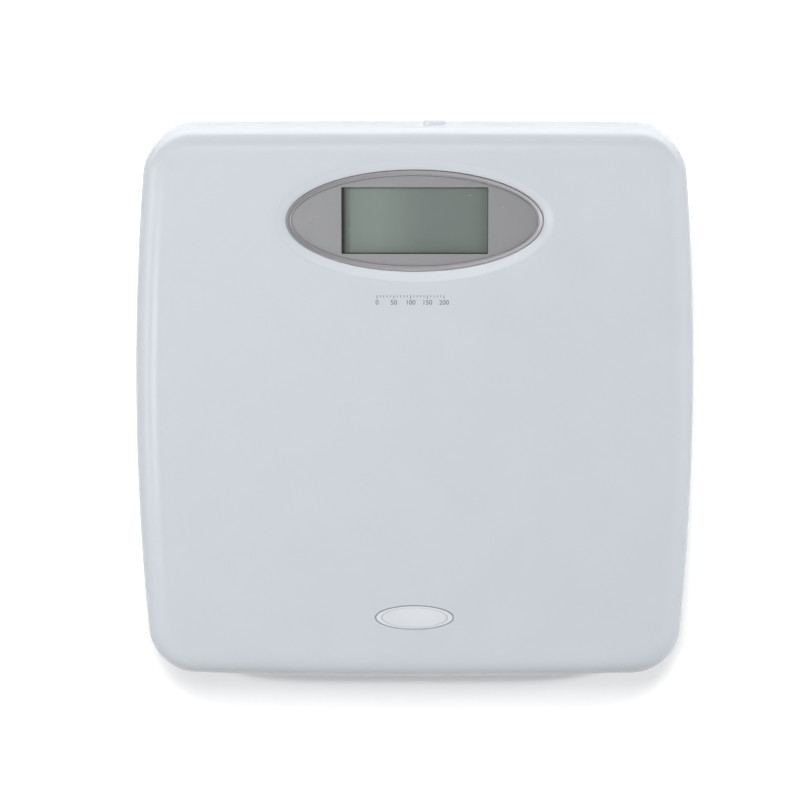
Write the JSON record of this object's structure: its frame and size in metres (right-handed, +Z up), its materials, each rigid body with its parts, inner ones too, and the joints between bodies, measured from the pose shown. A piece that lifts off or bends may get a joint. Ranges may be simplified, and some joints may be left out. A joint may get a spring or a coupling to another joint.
{
  "type": "floor scale",
  "caption": "Square digital floor scale with a rounded moulded platform, an oval display near the back edge, load cell feet, a battery door below and a unit button behind.",
  "frame": {"origin": "on the floor, under the middle of the case outline", "axes": "+Z up out of the platform, +Y towards the display, +X to the right as a person standing on the scale and facing the display sees it"},
  "size_m": [0.33, 0.3312, 0.056],
  "materials": {
    "platform": "light blue-grey moulded plastic, satin",
    "badge": "white domed badge, blank",
    "bezel": "satin plated plastic rim",
    "panel": "silver painted panel",
    "lens": "clear acrylic",
    "lcd": "grey-green liquid crystal glass",
    "frame": "white moulded plastic",
    "connector": "striped conductive rubber",
    "board": "green circuit board",
    "chip": "black moulded epoxy",
    "deck": "galvanised steel sheet",
    "tray": "grey moulded plastic",
    "cup": "grey moulded plastic",
    "pad": "black rubber",
    "load_cell": "bright steel plate",
    "door": "grey moulded plastic",
    "battery": "printed jacket, blank",
    "contact": "nickel plated spring steel",
    "button": "grey moulded plastic",
    "switch": "black moulded plastic",
    "lead": "vinyl sleeve",
    "screw": "zinc plated steel"
  },
  "bodies": {
    "housing": {"platform_cover": "platform", "steel_deck": "deck", "badge": "badge", "bezel_ring": "bezel", "bezel_panel": "panel", "display_lens": "lens", "lcd_module": "lcd", "lcd_frame": "frame", "lcd_connector_front": "connector", "lcd_connector_back": "connector", "main_board": "board", "processor": "chip", "buzzer": "chip", "lead_socket": "frame", "display_screw_1": "screw", "display_screw_2": "screw", "display_screw_3": "screw", "display_screw_4": "screw", "board_screw_1": "screw", "board_screw_2": "screw", "base_tray": "tray", "case_screw_1": "screw", "case_screw_2": "screw", "case_screw_3": "screw", "case_screw_4": "screw", "case_screw_5": "screw", "case_screw_6": "screw", "battery_1": "battery", "battery_2": "battery", "battery_3": "battery", "battery_4": "battery", "left_contact_front": "contact", "left_contact_back": "contact", "right_contact_middle": "contact", "right_contact_front": "contact", "right_contact_back": "contact", "switch_body": "switch", "switch_board": "board", "cell_lead_front_left": "lead", "cell_lead_front_right": "lead", "cell_lead_back_left": "lead", "cell_lead_back_right": "lead", "battery_lead": "lead", "switch_lead": "lead"},
    "foot_back_right_body": {"foot_pad_back_right": "pad", "foot_cup_back_right": "cup", "load_cell_back_right": "load_cell"},
    "foot_back_left_body": {"foot_pad_back_left": "pad", "foot_cup_back_left": "cup", "load_cell_back_left": "load_cell"},
    "foot_front_left_body": {"foot_pad_front_left": "pad", "foot_cup_front_left": "cup", "load_cell_front_left": "load_cell"},
    "foot_front_right_body": {"foot_pad_front_right": "pad", "foot_cup_front_right": "cup", "load_cell_front_right": "load_cell"},
    "door_body": {"battery_door": "door"},
    "button_body": {"unit_button": "button", "switch_plunger": "switch"}
  },
  "joints": [
    {"name": "foot_back_right_travel", "type": "slide", "parent": "housing", "child": "foot_back_right_body", "axis": [0, 0, 1], "range_m": [0, 0.00025], "stiffness_N_per_m": 15000},
    {"name": "foot_back_left_travel", "type": "slide", "parent": "housing", "child": "foot_back_left_body", "axis": [0, 0, 1], "range_m": [0, 0.00025], "stiffness_N_per_m": 15000},
    {"name": "foot_front_left_travel", "type": "slide", "parent": "housing", "child": "foot_front_left_body", "axis": [0, 0, 1], "range_m": [0, 0.00025], "stiffness_N_per_m": 15000},
    {"name": "foot_front_right_travel", "type": "slide", "parent": "housing", "child": "foot_front_right_body", "axis": [0, 0, 1], "range_m": [0, 0.00025], "stiffness_N_per_m": 15000},
    {"name": "battery_door_hinge", "type": "hinge", "parent": "housing", "child": "door_body", "pos_m": [-0.03155, 0, 0.006], "axis": [0, 1, 0], "range_deg": [0, 90]},
    {"name": "unit_button_press", "type": "slide", "parent": "housing", "child": "button_body", "axis": [0, -1, 0], "range_m": [0, 0.001], "stiffness_N_per_m": 1500}
  ]
}
